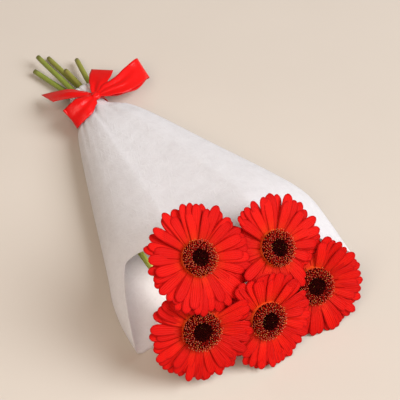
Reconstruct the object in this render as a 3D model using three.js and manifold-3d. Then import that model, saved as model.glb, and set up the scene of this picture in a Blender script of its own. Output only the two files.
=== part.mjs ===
// A wrapped gerbera bouquet lying on its side: five red gerberas in a white paper cone, tied near
// the cut stems with a satin ribbon bow. Millimetres, +Z up.
//
// The bunch is drawn about its tie, at x = 0 and y = 0. The cut stem ends lie towards +Y, the
// blooms towards -Y, and the table is z = 0. The whole group is then moved along the table so
// that the origin is the centre of its footprint.
import * as THREE from "three";
import { mergeVertices } from "three/addons/utils/BufferGeometryUtils.js";
import Module from "manifold-3d";

const wasm = await Module();
wasm.setup();

// ---------------------------------------------------------------- driving dimensions

const GAP = 0.3;              // left between pieces that would touch

// Each flower: the middle of its bloom, the way the bloom faces, the bloom's and its dark disc's
// radius, the stem's place round the tie (degrees), how far its middle arches up and bows to the
// right (left below 0), and its cut end.
// The petals towards "swept" (degrees round the disc) bend back the most, by "sweep" degrees.
// Listed from the front bloom to the one furthest back, as they overlap.
const FLOWERS = [
  { name: "a", bloom: [-48.5, -288.4, 98.2], faces: [0.10, -0.58, 0.81], reach: 51, disc: 16.0,
    swept: -90, sweep: 10, tie: 36, arch: 0, bow: 0, cut: [20, 79, 8] },
  { name: "e", bloom: [-70.7, -328.7, 52.4], faces: [-0.17, -0.82, 0.55], reach: 48, disc: 17.5,
    swept: -90, sweep: 4, tie: 108, arch: 7, bow: -27, cut: [-0.5, 66, 12.6] },
  { name: "d", bloom: [-9, -344, 40], faces: [0.04, -0.86, 0.51], reach: 46, disc: 17.0,
    swept: -90, sweep: 5, tie: 180, arch: -3, bow: 0, cut: [-16.3, 102, 12] },
  { name: "b", bloom: [27, -303, 77], faces: [0.14, -0.62, 0.77], reach: 51.5, disc: 16.5,
    swept: -100, sweep: 36, tie: -36, arch: 2, bow: 0, cut: [-4, 102, 4] },
  { name: "c", bloom: [51, -334, 38], faces: [-0.12, -0.76, 0.64], reach: 48, disc: 17.0,
    swept: -90, sweep: 10, tie: -108, arch: 0, bow: 0, cut: [-27.7, 89, 6.5] },
];

const STEM_RADIUS = 2.9;
const STEM_SIDES = 8;
const STEM_STEPS = 16;
const SPIRAL_RADIUS = 6.7;    // the stems cross at the tie side by side on this circle
const NECK_CENTRE = 13.6;     // height of that circle's middle
const NECK_BEND = 34;         // the last stretch of stem, which turns up into the bloom
const LOWEST_BEND = 9;        // no stem's bend sinks below this height

// Bloom, in its own frame: the disc's axis is +Z and the top of the receptacle plate is z = 0.
const PLATE_OVER_DISC = 0.8;  // the plate is this much wider than the disc on it
const PLATE_DEPTH = 4.8;
const CUP_DEPTH = 17;         // from the plate's top to where the stem starts
const DISC_RIM_HEIGHT = 3.2;
const DISC_RING_HEIGHT = 6.2;
const DISC_MIDDLE_HEIGHT = 4.4;
const FLORET_RISE = 1.1;
const DISC_SECTORS = 24;
const PLATE_SECTORS = 14;
const CUP_SECTORS = 16;
const BRACT_RISE = 1.2;

const PETAL_THICKNESS = 0.75;
const PETAL_ROOT_SUNK = 3.2;  // how far a petal's root reaches in under the plate's edge
const PETAL_STATIONS = [0, 0.38, 0.78, 1];
const PETAL_HALF_WIDTHS = [2.4, 4.3, 5.3, 2.7];
const PETAL_ROLL = 6;         // degrees, so that each petal lies over the next like a fan
// Layers from the back to the front: how many petals, their reach as a share of the bloom's
// radius, the height of their roots and their lift at the root and fall along the petal (degrees).
const LAYERS = [
  { count: 14, reach: 1.0, root: -3.9, lift: 14, fall: 17 },
  { count: 14, reach: 0.96, root: -2.6, lift: 19, fall: 19 },
  { count: 9, reach: 0.72, root: -1.4, lift: 25, fall: 20 },
];
// A petal that would cross another flower, the paper or the table is bent in these steps
// (degrees, forwards above 0) and, when no bend frees it, is tried shorter.
const BENDS_ANY_WAY = [0, 6, -6, 12, -12, 18, -18, 24, -24, 32, -32, 40, -40, 50, -50, -62, -75];
const BENDS_BACK = [0, -6, -12, -18, -24, -32, -40, -50, -62, -75];
const LENGTHS = [1, 0.85, 0.7, 0.55];

const PAPER = 0.8;
const PAPER_SECTORS = 36;
// The paper cone along its axis: distance from the tie towards the blooms, its width to the left
// and to the right of the axis, its height, how far its underside is off the table, and how square
// its section is below and at its upper right, which sinks towards the mouth (2 is an ellipse).
const CONE = [
  { at: -24, left: 18.5, right: 18.5, top: 26.4, low: 1.2, square: 2.3, sink: 2 },
  { at: -9, left: 13.6, right: 13.6, top: 25.4, low: 2.4, square: 2.1, sink: 2 },
  { at: 0, left: 12.6, right: 12.6, top: 25.0, low: 2.4, square: 2.0, sink: 2 },
  { at: 9, left: 15.5, right: 15.5, top: 25.8, low: 2.2, square: 2.0, sink: 2 },
  { at: 16, left: 26, right: 26, top: 27.5, low: 0.6, square: 2.3, sink: 2 },
  { at: 26, left: 35, right: 35, top: 30.5, low: 0, square: 3.0, sink: 2 },
  { at: 48, left: 44.8, right: 45.8, top: 36.5, low: 0, square: 4.0, sink: 2 },
  { at: 120, left: 71.4, right: 74.5, top: 48, low: 0, square: 4.0, sink: 2 },
  { at: 205, left: 101.5, right: 109.5, top: 63, low: 0, square: 6.0, sink: 1.9 },
  { at: 232, left: 112, right: 118, top: 69, low: 0, square: 7.0, sink: 1.7 },
  { at: 264, left: 118.5, right: 117, top: 73, low: 0, square: 9.0, sink: 1.5 },
  { at: 310, left: 121, right: 112, top: 76, low: 0, square: 11.0, sink: 1.2 },
];
const CONE_LEAN = 0.01;       // the cone's axis turns this much to the right of the tie's
const CONE_STATIONS = [-24, -9, 0, 9, 16, 26, 48];   // the rest run from the last to the rim
const CONE_SPANS_TO_RIM = 4;
const SHOULDER = 14;          // the section is widest at this height
const FLAT_SHARE = 1.08;      // how far the underside is pressed flat
const SINK_EDGE = 0.6;        // the upper right sinks fully from this cosine of its angle outwards
// Where the paper ends at the mouth: distance from the tie by angle round the section, from the
// middle of the underside (-90) over the right side (0), the crown (90) and the left side (180).
// The underside ends square, and the upper left is drawn back, so that the mouth stands open.
const RIM = [
  [-90, 288], [-42, 296], [-12, 306], [8, 306], [30, 298], [60, 282], [90, 262], [125, 232],
  [146, 222], [154, 242], [162, 263], [172, 281], [184, 289], [206, 291], [222, 291], [270, 288],
];

const RIBBON_WIDTH = 25;
const RIBBON_THICKNESS = 0.8;
const BAND_WIDTH = 12;        // the ribbon is drawn together where it passes round the neck
const BAND_THICKNESS = 0.9;
const KNOT = [1, -2, 30.2];
const KNOT_SIZE = [13, 12, 9];

// ---------------------------------------------------------------- small helpers

const vector = (list) => new THREE.Vector3(...list);
const radians = THREE.MathUtils.degToRad;

/** The value at x on a smooth line through [x, y] points in rising x. */
function smoothThrough(points, x) {
  let k = 0;
  while (k < points.length - 2 && x > points[k + 1][0]) {
    k += 1;
  }
  const [x0, y0] = points[k];
  const [x1, y1] = points[k + 1];
  const before = points[Math.max(0, k - 1)];
  const after = points[Math.min(points.length - 1, k + 2)];
  const share = THREE.MathUtils.clamp((x - x0) / (x1 - x0), 0, 1);
  const slope0 = (y1 - before[1]) / (x1 - before[0]) * (x1 - x0);
  const slope1 = (after[1] - y0) / (after[0] - x0) * (x1 - x0);
  const s2 = share * share;
  const s3 = s2 * share;
  return (2 * s3 - 3 * s2 + 1) * y0 + (s3 - 2 * s2 + share) * slope0
    + (3 * s2 - 2 * s3) * y1 + (s3 - s2) * slope1;
}

/** The same shape with shared vertices merged and the triangles that closed up on an axis dropped. */
function mergedGeometry(geometry) {
  const bare = geometry.clone();
  bare.deleteAttribute("normal");
  bare.deleteAttribute("uv");
  const merged = mergeVertices(bare);
  const corners = merged.index.array;
  const kept = [];
  for (let i = 0; i < corners.length; i += 3) {
    const [a, b, c] = corners.slice(i, i + 3);
    if (a !== b && b !== c && c !== a) {
      kept.push(a, b, c);
    }
  }
  merged.setIndex(kept);
  return merged;
}

function solidOf(geometry) {
  const merged = mergedGeometry(geometry);
  return new wasm.Manifold(new wasm.Mesh({
    numProp: 3,
    vertProperties: new Float32Array(merged.attributes.position.array),
    triVerts: new Uint32Array(merged.index.array),
  }));
}

function geometryOf(solid) {
  const { vertProperties, triVerts } = solid.getMesh();
  const geometry = new THREE.BufferGeometry();
  geometry.setAttribute("position", new THREE.BufferAttribute(new Float32Array(vertProperties), 3));
  geometry.setIndex(Array.from(triVerts));
  geometry.computeVertexNormals();
  return geometry;
}

const joined = (solids) => solids.reduce((whole, solid) => whole.add(solid));

/** The same solid with the small hollows closed in between its pieces filled. */
const filled = (solid) => joined(solid.decompose().filter((part) => part.volume() > 0));

/** A closed surface over a grid of points, rows[i][j], whose rows are loops and whose ends are
 *  filled with a fan round their first point. */
function loftedGeometry(rows) {
  const around = rows[0].length;
  const index = [];
  for (let i = 0; i + 1 < rows.length; i += 1) {
    for (let j = 0; j < around; j += 1) {
      const a = i * around + j;
      const b = i * around + (j + 1) % around;
      index.push(a, b, b + around, a, b + around, a + around);
    }
  }
  const last = (rows.length - 1) * around;
  for (let j = 1; j + 1 < around; j += 1) {
    index.push(0, j + 1, j);
    index.push(last, last + j, last + j + 1);
  }
  return new THREE.BufferGeometry().setFromPoints(rows.flat()).setIndex(index);
}

/** A flat blade along stations of { centre, side, up, half }. */
function bladeSolid(stations, thickness) {
  const rows = stations.map(({ centre, side, up, half }) => {
    const corner = (across, through) => centre.clone()
      .addScaledVector(side, across * half)
      .addScaledVector(up, through * thickness / 2);
    return [corner(-1, -1), corner(1, -1), corner(1, 1), corner(-1, 1)];
  });
  return solidOf(loftedGeometry(rows));
}

/** A turned solid about +Z from a profile of [radius, height] that starts and ends on the axis,
 *  its surface then moved by relief(radius, height, sector) => [outwards, upwards]. */
function turnedSolid(profile, sectors, relief = () => [0, 0]) {
  const turned = new THREE.LatheGeometry(profile.map(([r, z]) => new THREE.Vector2(r, z)), sectors);
  turned.rotateX(Math.PI / 2);
  const geometry = mergedGeometry(turned);
  const position = geometry.attributes.position;
  for (let i = 0; i < position.count; i += 1) {
    const radius = Math.hypot(position.getX(i), position.getY(i));
    const angle = Math.atan2(position.getY(i), position.getX(i));
    const sector = Math.round(angle / (2 * Math.PI) * sectors + sectors) % sectors;
    const [outwards, upwards] = radius > 0.01 ? relief(radius, position.getZ(i), sector) : [0, 0];
    const scale = radius > 0.01 ? 1 + outwards / radius : 1;
    position.setXYZ(i, position.getX(i) * scale, position.getY(i) * scale, position.getZ(i) + upwards);
  }
  return solidOf(geometry);
}

/** Seeded draws between 0 and 1. */
function seededDraw(seed) {
  let state = seed;
  return () => {
    state = (state * 1664525 + 1013904223) % 4294967296;
    return state / 4294967296;
  };
}

// ---------------------------------------------------------------- stems

function bloomMatrix(flower) {
  const facing = vector(flower.faces).normalize();
  const across = new THREE.Vector3(0, 0, 1).cross(facing).normalize();
  const upwards = facing.clone().cross(across);
  return new THREE.Matrix4().makeBasis(across, upwards, facing).setPosition(vector(flower.bloom));
}

function stemCurve(flower) {
  const facing = vector(flower.faces).normalize();
  const angle = radians(flower.tie);
  const atTie = new THREE.Vector3(
    SPIRAL_RADIUS * Math.cos(angle), 0, NECK_CENTRE + SPIRAL_RADIUS * Math.sin(angle));
  const top = vector(flower.bloom).addScaledVector(facing, 2 - CUP_DEPTH);
  const bend = top.clone().addScaledVector(facing, -NECK_BEND);
  bend.z = Math.max(bend.z, LOWEST_BEND);
  const middle = atTie.clone().lerp(bend, 0.5);
  middle.z += flower.arch;
  middle.x += flower.bow;
  return new THREE.CatmullRomCurve3([vector(flower.cut), atTie, middle, bend, top], false, "centripetal");
}

/** The green cup of bracts behind the bloom, in the bloom's frame: pointed bracts as ridges. */
function bractCup(flower) {
  const rim = -PLATE_DEPTH - GAP;
  const wide = flower.disc - 1;
  const profile = [
    [0, -CUP_DEPTH], [STEM_RADIUS + 0.6, -CUP_DEPTH], [wide * 0.62, -CUP_DEPTH + 3.6],
    [wide * 0.92, -CUP_DEPTH + 8], [wide, rim], [0, rim],
  ];
  const ridges = (radius, height, sector) => {
    const rise = sector % 2 === 0 ? BRACT_RISE : 0;
    return [radius > wide * 0.5 ? rise : 0, 0];
  };
  return turnedSolid(profile, CUP_SECTORS, ridges);
}

function stemSolid(flower) {
  const outline = new THREE.Shape();
  outline.absarc(0, 0, STEM_RADIUS, 0, 2 * Math.PI, false);
  const stem = new THREE.ExtrudeGeometry(outline, {
    steps: STEM_STEPS,
    curveSegments: STEM_SIDES / 2,
    bevelEnabled: false,
    extrudePath: stemCurve(flower),
  });
  const cup = bractCup(flower).transform(bloomMatrix(flower).toArray());
  return solidOf(stem).add(cup);
}

// ---------------------------------------------------------------- blooms

/** The dark eye: a cushion with a raised outer ring, its florets standing up as relief. */
function discSolid(flower) {
  const wide = flower.disc;
  const profile = [
    [0, GAP], [wide - 0.8, GAP], [wide, DISC_RIM_HEIGHT], [wide * 0.82, DISC_RING_HEIGHT],
    [wide * 0.62, DISC_RING_HEIGHT], [wide * 0.42, DISC_MIDDLE_HEIGHT + 0.4],
    [wide * 0.22, DISC_MIDDLE_HEIGHT], [0, DISC_MIDDLE_HEIGHT + 0.5],
  ];
  const florets = (radius, height, sector) => {
    const ring = Math.round(radius / wide * 5);
    const standing = (ring + sector) % 2 === 0 && height > DISC_RIM_HEIGHT + 0.1;
    return [0, standing ? FLORET_RISE : 0];
  };
  return turnedSolid(profile, DISC_SECTORS, florets);
}

/** One petal in the bloom's frame. Its spine leaves the plate's edge at a lift that falls away
 *  along the petal, less a bend where something is in its way. */
function petalStations(petal, bend, length, spare) {
  const outwards = new THREE.Vector3(Math.cos(petal.angle), Math.sin(petal.angle), 0);
  const sideways = new THREE.Vector3(-Math.sin(petal.angle), Math.cos(petal.angle), 0);
  const centre = outwards.clone().multiplyScalar(petal.rootRadius).setZ(petal.root);
  return PETAL_STATIONS.map((share, k) => {
    const before = k > 0 ? PETAL_STATIONS[k - 1] : 0;
    const bent = k > 0 ? bend : 0;
    const slopeAt = (at) => radians(petal.lift + bent - petal.fall * at);
    const slope = slopeAt((share + before) / 2);
    const along = outwards.clone().multiplyScalar(Math.cos(slope)).setZ(Math.sin(slope));
    centre.addScaledVector(along, petal.length * length * (share - before));
    const side = sideways.clone().applyAxisAngle(along, petal.roll);
    const up = along.clone().cross(side);
    return { centre: centre.clone(), side, up, half: PETAL_HALF_WIDTHS[k] * petal.width + spare };
  });
}

function petalPlan(flower, index) {
  const draw = seededDraw(97 + 31 * index);
  const spread = (amount) => (draw() - 0.5) * 2 * amount;
  const plate = flower.disc + PLATE_OVER_DISC;
  return LAYERS.flatMap((layer, depth) => Array.from({ length: layer.count }, (_, k) => ({
    angle: 2 * Math.PI * (k + 0.5 * depth + spread(0.1)) / layer.count,
    rootRadius: plate - PETAL_ROOT_SUNK,
    root: layer.root,
    length: (flower.reach * layer.reach + spread(1.6)) - plate + PETAL_ROOT_SUNK,
    lift: layer.lift + spread(1),
    fall: layer.fall + spread(2),
    roll: radians(PETAL_ROLL),
    width: 1 + spread(0.06),
  })).map((petal) => {
    const towards = Math.max(0, Math.cos(petal.angle - radians(flower.swept)));
    return { ...petal, fall: petal.fall + 2 * flower.sweep * towards ** 3 };
  }));
}

/** The receptacle plate that carries the petals. */
function plateSolid(flower) {
  const radius = flower.disc + PLATE_OVER_DISC;
  return turnedSolid([[0, -PLATE_DEPTH], [radius, -PLATE_DEPTH], [radius, 0], [0, 0]], PLATE_SECTORS);
}

/** The plate with its petals, each bent clear of what is in its way. */
function petalsSolid(flower, index, inFront, around) {
  const matrix = bloomMatrix(flower).toArray();
  const pieces = [plateSolid(flower)];
  const hits = (petal, bend, length, things) => {
    const trial = bladeSolid(petalStations(petal, bend, length, GAP), PETAL_THICKNESS + 2 * GAP);
    return !trial.transform(matrix).intersect(things).isEmpty();
  };
  for (const petal of petalPlan(flower, index)) {
    const bends = inFront && hits(petal, 0, 1, inFront) ? BENDS_BACK : BENDS_ANY_WAY;
    const tries = LENGTHS.flatMap((length) => bends.map((bend) => [bend, length]));
    const free = tries.find(([bend, length]) => !hits(petal, bend, length, around));
    if (free) {
      pieces.push(bladeSolid(petalStations(petal, ...free, 0), PETAL_THICKNESS));
    }
  }
  return filled(joined(pieces));
}

// ---------------------------------------------------------------- paper cone

function coneAt(distance) {
  const read = (key) => smoothThrough(CONE.map((station) => [station.at, station[key]]), distance);
  return {
    left: read("left"),
    right: read("right"),
    top: read("top"),
    low: Math.max(0, read("low")),
    square: read("square"),
    sink: read("sink"),
  };
}

/** A point on the outside of the cone, at a distance from the tie and an angle round the section. */
function conePoint(distance, angle) {
  const { left, right, top, low, square, sink } = coneAt(distance);
  const waist = low + Math.min(SHOULDER, (top - low) / 2);
  const sine = Math.sin(angle);
  const cosine = Math.cos(angle);
  const half = cosine > 0 ? right : left;
  const above = 2 + (sink - 2) * THREE.MathUtils.smoothstep(cosine, 0, SINK_EDGE);
  const power = 2 / (sine < 0 ? square : above);
  const across = CONE_LEAN * distance + half * Math.sign(cosine) * Math.abs(cosine) ** power;
  const flattened = Math.min(1, (square > 2.5 ? FLAT_SHARE : 1) * Math.abs(sine) ** power);
  const height = sine < 0 ? waist - (waist - low) * flattened : waist + (top - waist) * flattened;
  return new THREE.Vector3(across, -distance, Math.min(height, top));
}

function coneRows() {
  const angles = Array.from({ length: PAPER_SECTORS }, (_, j) => 2 * Math.PI * j / PAPER_SECTORS);
  const last = CONE_STATIONS[CONE_STATIONS.length - 1];
  const rimAt = (angle) => {
    const degrees = THREE.MathUtils.radToDeg(angle);
    return smoothThrough(RIM, degrees > 270 ? degrees - 360 : degrees);
  };
  const rows = CONE_STATIONS.map((distance) => angles.map((angle) => conePoint(distance, angle)));
  for (let k = 1; k <= CONE_SPANS_TO_RIM; k += 1) {
    rows.push(angles.map((angle) => {
      const distance = last + (rimAt(angle) - last) * k / CONE_SPANS_TO_RIM;
      return conePoint(distance, angle);
    }));
  }
  return rows;
}

/** The same grid moved inwards by the paper's thickness, square to the surface. */
function insideRows(rows) {
  return rows.map((row, i) => row.map((point, j) => {
    const ahead = rows[Math.min(rows.length - 1, i + 1)][j];
    const behind = rows[Math.max(0, i - 1)][j];
    const left = row[(j + 1) % row.length];
    const right = row[(j + row.length - 1) % row.length];
    const inwards = ahead.clone().sub(behind).cross(left.clone().sub(right)).normalize();
    return point.clone().addScaledVector(inwards, PAPER);
  }));
}

/** A tube of paper open at both ends: outside, rim, inside and collar end as one closed skin. */
function wrapGeometry() {
  const outside = coneRows();
  const inside = insideRows(outside);
  const rows = [...outside, ...inside.reverse()];
  const around = PAPER_SECTORS;
  const index = [];
  for (let i = 0; i < rows.length; i += 1) {
    const next = (i + 1) % rows.length;
    for (let j = 0; j < around; j += 1) {
      const a = i * around + j;
      const b = i * around + (j + 1) % around;
      const c = next * around + (j + 1) % around;
      const d = next * around + j;
      index.push(a, b, c, a, c, d);
    }
  }
  const geometry = new THREE.BufferGeometry().setFromPoints(rows.flat()).setIndex(index);
  geometry.computeVertexNormals();
  return geometry;
}

// ---------------------------------------------------------------- ribbon

/** A length of ribbon through points, each with the direction of its width and its half-width. Its
 *  last end can be cut aslant. */
function stripSolid(stops, slant = 0) {
  const curve = new THREE.CatmullRomCurve3(stops.map((stop) => vector(stop.at)), false, "centripetal");
  const spans = stops.length - 1;
  const stations = stops.map((stop, k) => {
    const along = curve.getTangent(k / spans);
    const up = along.clone().cross(vector(stop.side)).normalize();
    const side = up.clone().cross(along).normalize();
    if (k === spans) {
      side.addScaledVector(along, slant);
    }
    return { centre: vector(stop.at), side, up, half: stop.half };
  });
  return bladeSolid(stations, RIBBON_THICKNESS);
}

/** The band round the paper's neck, drawn together to half the ribbon's width. */
function bandSolid() {
  const ring = (distance, away) => Array.from({ length: 24 }, (_, j) => {
    const angle = 2 * Math.PI * j / 24;
    const { right, top, low } = coneAt(distance);
    const middle = (top + low) / 2;
    return new THREE.Vector3(
      (right + away) * Math.cos(angle), -distance, middle + (middle - low + away) * Math.sin(angle));
  });
  const outer = 2 * GAP + BAND_THICKNESS;
  const widest = 0.6;
  const shell = (away) => solidOf(loftedGeometry(
    [-1, 0, 1].map((step) => ring(step * BAND_WIDTH / 2, away + (step === 0 ? 0 : widest)))));
  return shell(outer).subtract(shell(2 * GAP));
}

function ribbonSolid() {
  const full = RIBBON_WIDTH / 2;
  const knot = solidOf(new THREE.SphereGeometry(0.5, 10, 7).scale(...KNOT_SIZE).translate(...KNOT));
  const rightLoop = stripSolid([
    { at: [3, -2, 31], side: [0, 1, 0.05], half: 4 },
    { at: [16, -2, 33.5], side: [-0.1, 1, 0.1], half: 7.5 },
    { at: [33, -3, 33], side: [-0.16, 0.98, 0.15], half: 11 },
    { at: [52, 5, 30], side: [-0.18, 0.92, 0.34], half: full },
    { at: [66, 12, 26.5], side: [-0.12, 0.83, 0.55], half: full },
    { at: [69, 15, 23], side: [-0.12, 0.83, 0.55], half: full },
    { at: [65, 14, 20], side: [-0.12, 0.83, 0.55], half: full },
    { at: [49, 8, 20], side: [-0.18, 0.92, 0.34], half: full },
    { at: [28, 1, 24], side: [-0.16, 0.98, 0.15], half: 9 },
    { at: [4, -1, 29], side: [0, 1, 0.05], half: 4 },
  ]);
  const leftLoop = stripSolid([
    { at: [-1, -2, 31], side: [0, 1, 0.05], half: 4 },
    { at: [-9, -8, 34.5], side: [-0.1, 1, 0.15], half: 8.5 },
    { at: [-20, -13, 35], side: [-0.14, 0.95, 0.25], half: full },
    { at: [-31, -14, 30], side: [-0.14, 0.95, 0.3], half: full },
    { at: [-35.5, -13, 25], side: [-0.14, 0.95, 0.3], half: full },
    { at: [-31, -8, 21], side: [-0.1, 0.97, 0.25], half: 10.5 },
    { at: [-18, -1, 24], side: [0, 1, 0.1], half: 7 },
    { at: [-3, -1, 29], side: [0, 1, 0.05], half: 4 },
  ]);
  const leftTail = stripSolid([
    { at: [-1, 0, 30], side: [0.3, 0.95, 0], half: 3.5 },
    { at: [-10.5, 8.3, 30.5], side: [0.5, 0.84, -0.2], half: 6 },
    { at: [-22.8, 19.1, 28], side: [0.45, 0.86, -0.24], half: 9.5 },
    { at: [-32.6, 28.3, 23], side: [0.4, 0.88, -0.25], half: 11.5 },
    { at: [-40.9, 37.2, 18], side: [0.4, 0.88, -0.2], half: 11.5 },
  ], 0.4);
  const upperTail = stripSolid([
    { at: [1, 0, 30], side: [-0.9, 0.4, 0], half: 3.5 },
    { at: [6.8, 6.6, 32], side: [-0.8, 0.5, 0], half: 8.5 },
    { at: [13.7, 14.9, 32.5], side: [-0.8, 0.5, -0.1], half: 12 },
    { at: [20.4, 22.4, 32], side: [-0.8, 0.5, -0.1], half: full },
    { at: [26.6, 29.6, 30], side: [-0.8, 0.5, -0.1], half: full },
  ], 0.1);
  return joined([bandSolid(), knot, rightLoop, leftLoop, leftTail, upperTail]);
}

// ---------------------------------------------------------------- assembly

const finish = (color, roughness) => new THREE.MeshStandardMaterial({ color, roughness, metalness: 0 });
const STEM_GREEN = finish(0x7d8a45, 0.6);
const PETAL_RED = finish(0xe8180e, 0.55);
const DISC_DARK = finish(0x3a0d0b, 0.8);
const PAPER_WHITE = finish(0xe2dcdd, 0.9);
const RIBBON_RED = finish(0xdf0f0c, 0.35);

function named(name, geometry, material) {
  const mesh = new THREE.Mesh(geometry, material);
  mesh.name = name;
  return mesh;
}

const bunch = new THREE.Group();
const wrap = wrapGeometry();
const ribbon = ribbonSolid();
bunch.add(named("wrap", wrap, PAPER_WHITE), named("ribbon", geometryOf(ribbon), RIBBON_RED));

const TABLE = solidOf(new THREE.BoxGeometry(900, 900, 40).translate(0, -150, -20));
const inPlace = (make) => (flower) => make(flower).transform(bloomMatrix(flower).toArray());
const stems = FLOWERS.map(stemSolid);
const discs = FLOWERS.map(inPlace(discSolid));
const plates = FLOWERS.map(inPlace(plateSolid));
const fixed = joined([TABLE, solidOf(wrap), ...stems, ...discs]);
let inFront = null;
FLOWERS.forEach((flower, k) => {
  const others = plates.slice(k + 1).concat(inFront ?? []);
  const petals = petalsSolid(flower, k, inFront, joined([fixed, ...others]));
  const placed = petals.transform(bloomMatrix(flower).toArray());
  const whole = joined([placed, discs[k], stems[k]]);
  inFront = inFront ? inFront.add(whole) : whole;
  bunch.add(
    named(`stem_${flower.name}`, geometryOf(stems[k]), STEM_GREEN),
    named(`petals_${flower.name}`, geometryOf(placed), PETAL_RED),
    named(`disc_${flower.name}`, geometryOf(discs[k]), DISC_DARK));
});

const footprint = new THREE.Box3().setFromObject(bunch).getCenter(new THREE.Vector3());
bunch.position.set(-footprint.x, -footprint.y, 0);

const bouquet = new THREE.Group();
bouquet.add(bunch);

export default bouquet;
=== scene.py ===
import math
import random

import bpy
import numpy as np
from mathutils import Matrix, Vector
from mathutils.bvhtree import BVHTree


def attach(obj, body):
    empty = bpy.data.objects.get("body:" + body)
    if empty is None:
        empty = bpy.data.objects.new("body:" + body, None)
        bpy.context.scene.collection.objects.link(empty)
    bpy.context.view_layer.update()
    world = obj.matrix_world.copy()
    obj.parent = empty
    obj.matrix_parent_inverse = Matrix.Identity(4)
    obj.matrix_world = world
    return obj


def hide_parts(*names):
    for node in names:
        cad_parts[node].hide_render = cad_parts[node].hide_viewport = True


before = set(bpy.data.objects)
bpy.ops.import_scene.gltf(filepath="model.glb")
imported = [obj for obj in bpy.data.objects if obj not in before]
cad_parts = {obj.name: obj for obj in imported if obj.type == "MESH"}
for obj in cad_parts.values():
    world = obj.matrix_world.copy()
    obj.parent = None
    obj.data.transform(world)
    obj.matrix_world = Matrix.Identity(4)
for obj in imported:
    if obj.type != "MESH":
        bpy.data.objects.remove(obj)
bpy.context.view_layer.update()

MM = 0.001
TIE_IN_FRAME = Vector((-1.855, 133.470, 0.0))

# Each flower, from the front bloom to the one furthest back.
# bloom, faces: the middle of the bloom and the way it faces. reach, disc: its radius and its eye's.
# swept, sweep: where round the bloom its petals are swept back, and how far, in degrees.
# crowded: the share by which its petals crowd together towards the table.
# short: where round the bloom its petals are shorter, in degrees, and by what share.
# tie: its stem's place round the tie, in degrees. arch, bow: how far the stem's middle goes up and
# to the right. cut: its cut end. brown: the stem's tint towards brown. seed: for its random draws.
FLOWERS = [
    dict(name="a", bloom=(-48.5, -288.4, 98.2), faces=(0.10, -0.58, 0.81), reach=51, disc=16.0,
         swept=-90, sweep=10, crowded=0.12, short=(0, 0), tie=36, arch=0, bow=0,
         cut=(20, 79, 8), brown=0.62, seed=11),
    dict(name="e", bloom=(-70.7, -328.7, 52.4), faces=(-0.17, -0.82, 0.55), reach=48, disc=17.5,
         swept=-90, sweep=4, crowded=0.28, short=(0, 0), tie=108, arch=7, bow=-27,
         cut=(-0.5, 66, 12.6), brown=0.8, seed=25),
    dict(name="d", bloom=(-9, -344, 40), faces=(0.04, -0.86, 0.51), reach=46, disc=17.0,
         swept=170, sweep=30, crowded=0.28, short=(0, 0), tie=180, arch=-3, bow=0,
         cut=(-16.3, 102, 12), brown=0.12, seed=34),
    dict(name="b", bloom=(27, -303, 77), faces=(0.14, -0.62, 0.77), reach=51.5, disc=16.5,
         swept=-95, sweep=18, crowded=0.10, short=(-62, 0.42), tie=-36, arch=2, bow=0,
         cut=(-4, 102, 4), brown=0.55, seed=42),
    dict(name="c", bloom=(51, -334, 38), faces=(-0.12, -0.76, 0.64), reach=48, disc=17.0,
         swept=-90, sweep=10, crowded=0.25, short=(0, 0), tie=-108, arch=0, bow=0,
         cut=(-27.7, 89, 6.5), brown=0.1, seed=53),
]

STEM_RADIUS = 2.9
SPIRAL_RADIUS = 6.7        # the stems cross at the tie side by side on this circle
NECK_CENTRE = 13.6         # height of that circle's middle
NECK_BEND = 34             # the last stretch of stem, which turns up into the bloom
LOWEST_BEND = 9            # no stem's bend sinks below this height
CUP_DEPTH = 17             # from the top of the receptacle plate to where the stem starts
PLATE_DEPTH = 4.8
FULL_TURN = 6.28           # the most that a random turn about an axis comes to, in radians

# ---------------------------------------------------------------- small helpers


def smooth_through(points, x):
    """The value at x on a smooth line through (x, y) points in rising x."""
    k = 0
    while k < len(points) - 2 and x > points[k + 1][0]:
        k += 1
    (x0, y0), (x1, y1) = points[k], points[k + 1]
    before = points[max(0, k - 1)]
    after = points[min(len(points) - 1, k + 2)]
    s = min(1, max(0, (x - x0) / (x1 - x0)))
    slope0 = (y1 - before[1]) / (x1 - before[0]) * (x1 - x0)
    slope1 = (after[1] - y0) / (after[0] - x0) * (x1 - x0)
    return ((2 * s**3 - 3 * s**2 + 1) * y0 + (s**3 - 2 * s**2 + s) * slope0
            + (3 * s**2 - 2 * s**3) * y1 + (s**3 - s**2) * slope1)


def centripetal(points, steps):
    """Points on a centripetal Catmull-Rom curve through the given ones."""
    pts = [Vector(p) for p in points]
    pts = [2 * pts[0] - pts[1]] + pts + [2 * pts[-1] - pts[-2]]
    curve = []
    for i in range(1, len(pts) - 2):
        p0, p1, p2, p3 = pts[i - 1:i + 3]
        d0, d1, d2 = (math.sqrt((q - p).length) for p, q in ((p0, p1), (p1, p2), (p2, p3)))
        m1 = ((p1 - p0) / d0 - (p2 - p0) / (d0 + d1) + (p2 - p1) / d1) * d1
        m2 = ((p2 - p1) / d1 - (p3 - p1) / (d1 + d2) + (p3 - p2) / d2) * d1
        for k in range(steps):
            s = k / steps
            curve.append((2 * s**3 - 3 * s**2 + 1) * p1 + (s**3 - 2 * s**2 + s) * m1
                         + (3 * s**2 - 2 * s**3) * p2 + (s**3 - s**2) * m2)
    return curve + [pts[-2]]


def placed(point):
    """A point about the tie, in millimetres, as metres in the frame."""
    return (Vector(point) + TIE_IN_FRAME) * MM


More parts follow.
